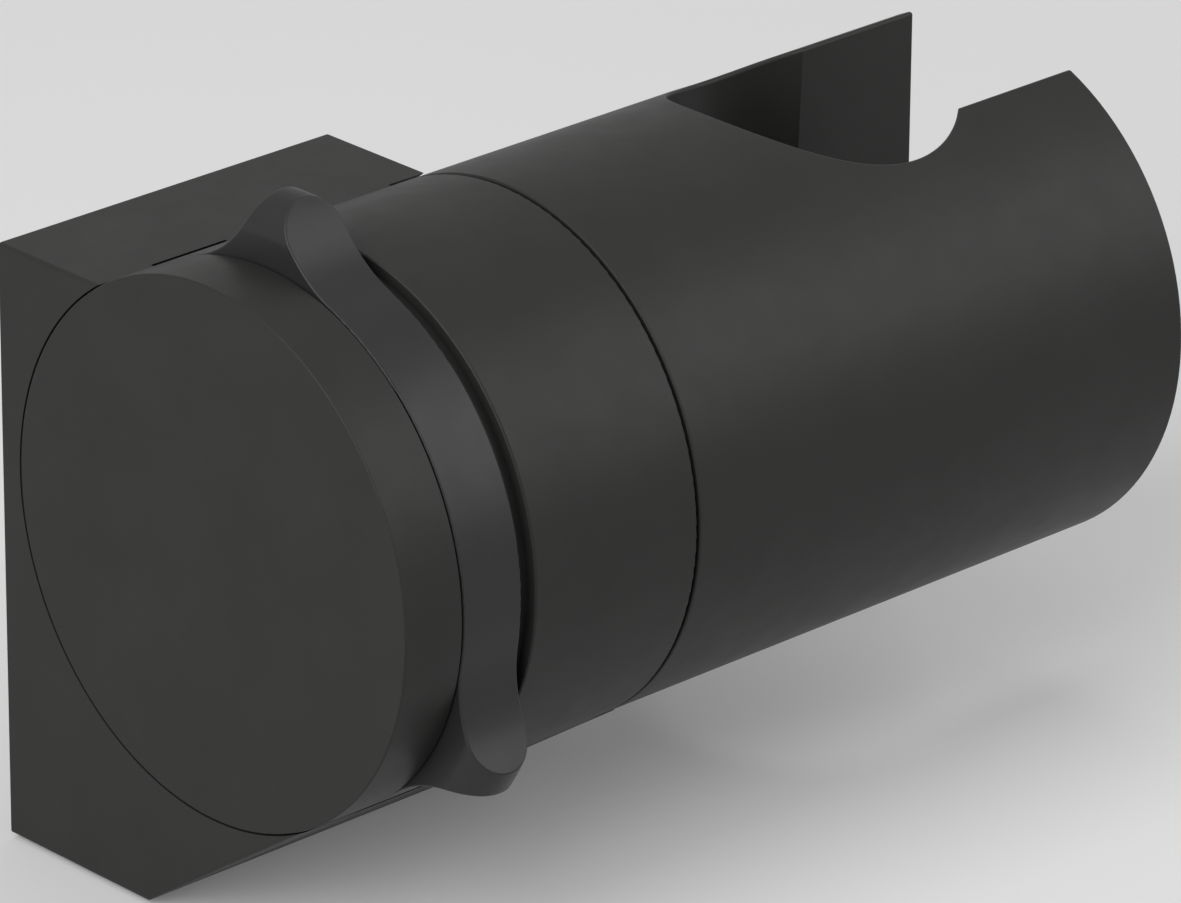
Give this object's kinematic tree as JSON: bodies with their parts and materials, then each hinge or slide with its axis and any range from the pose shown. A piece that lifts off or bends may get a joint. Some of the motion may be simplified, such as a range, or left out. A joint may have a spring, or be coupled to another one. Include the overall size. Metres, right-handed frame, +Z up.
{
  "type": "hand shower holder",
  "caption": "Wall holder for a hand shower: a swivelling barrel with a tapered seat and hose slot on a block bracket, with a two-lobed locking ring.",
  "frame": {"origin": "middle of the bracket's back face, on the wall", "axes": "+X along the barrel towards its open end, +Y into the wall, +Z up; the hand shower hangs in front of the wall at -Y"},
  "size_m": [0.08, 0.046, 0.0563],
  "materials": {
    "black_casting": "satin powder coat",
    "black_ring": "satin powder coat",
    "black_plastic": "matte",
    "bare_steel": "turned",
    "black_steel": "black oxide",
    "spring_steel": "hardened",
    "brass_nut": "turned",
    "friction_plastic": "matte",
    "rubber_seal": "matte"
  },
  "bodies": {
    "bracket": {"bracket_housing": "black_casting", "wall_plate": "bare_steel", "set_screw": "black_steel", "end_cap": "black_casting", "cap_o_ring": "rubber_seal", "tie_spindle": "bare_steel", "spindle_key": "bare_steel", "thrust_washer": "bare_steel", "disc_spring_left": "spring_steel", "disc_spring_right": "spring_steel", "head_washer": "bare_steel", "friction_disc": "friction_plastic"},
    "lock_ring": {"grip_ring": "black_ring", "drive_keys": "bare_steel", "clamp_nut": "brass_nut"},
    "barrel": {"holder_barrel": "black_casting", "bore_plug": "black_plastic", "barrel_bush": "friction_plastic", "stop_pin": "bare_steel", "face_seal": "rubber_seal"}
  },
  "joints": [
    {"name": "barrel_tilt", "type": "hinge", "parent": "bracket", "child": "barrel", "pos_m": [0.0125, -0.023, 0.0065], "axis": [1, 0, 0], "range_deg": [-45, 45]},
    {"name": "ring_turn", "type": "hinge", "parent": "bracket", "child": "lock_ring", "pos_m": [-0.0078, -0.023, 0.0065], "axis": [1, 0, 0], "range_deg": [-14, 14]}
  ]
}
